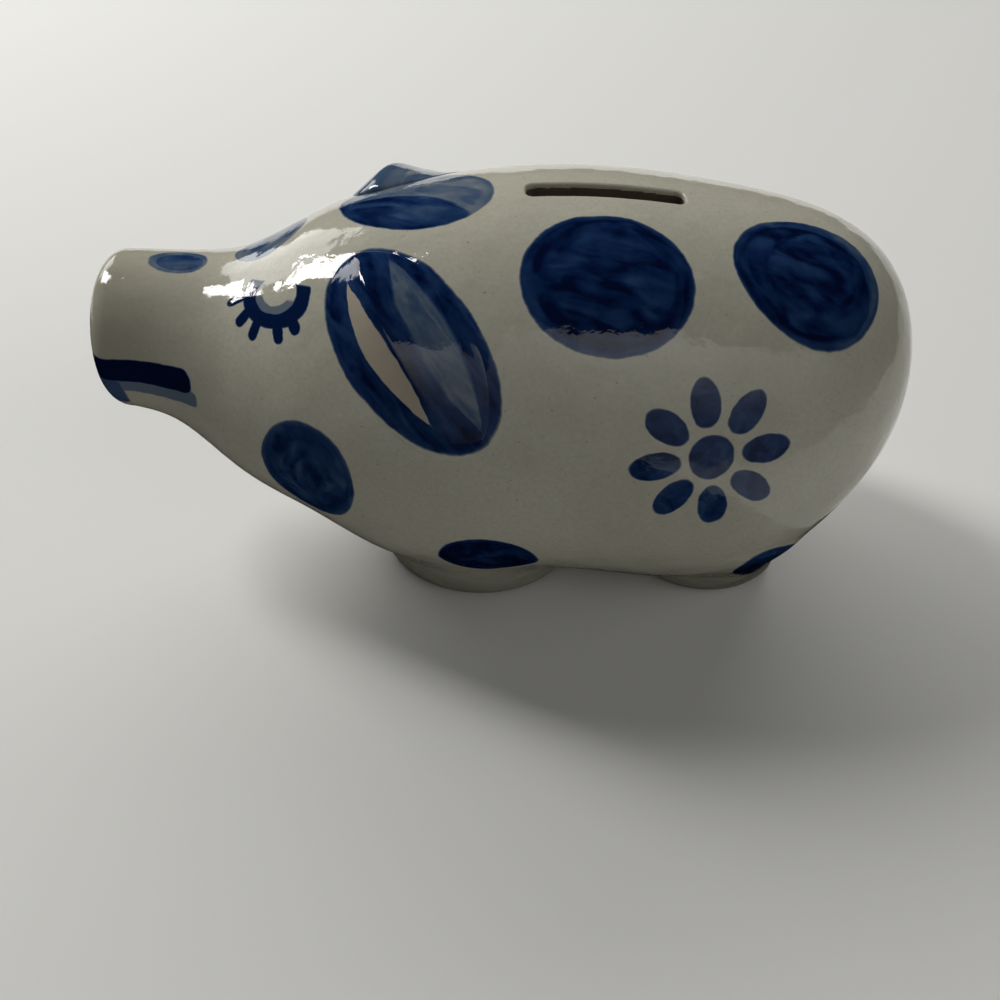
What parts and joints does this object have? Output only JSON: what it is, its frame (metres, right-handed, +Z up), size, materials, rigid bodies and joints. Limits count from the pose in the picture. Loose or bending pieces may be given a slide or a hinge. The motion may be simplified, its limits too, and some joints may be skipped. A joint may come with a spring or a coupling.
{
  "type": "figural animal coin bank",
  "caption": "Round-bodied glazed stoneware pig coin bank with a coin slot in the back, applied ears, short feet and a pull-out stopper in the belly.",
  "frame": {"origin": "on the resting plane, under the middle of the bounding box", "axes": "+Z up, X along the pig with the snout towards -X, the pig's left side towards -Y"},
  "size_m": [0.205, 0.1058, 0.1113],
  "materials": {
    "glazed_stoneware": "opaque glossy grey salt-type glaze over fired stoneware",
    "cobalt_glaze": "opaque glossy cobalt-blue brushwork under clear glaze",
    "stopper_rubber": "matt black moulded rubber"
  },
  "bodies": {
    "bank": {"body_shell": "glazed_stoneware", "ear_left": "cobalt_glaze", "ear_right": "cobalt_glaze"},
    "stopper": {"stopper": "stopper_rubber"}
  },
  "joints": [
    {"name": "stopper_pull", "type": "slide", "parent": "bank", "child": "stopper", "axis": [0, 0, -1], "range_m": [0, 0.03]}
  ]
}
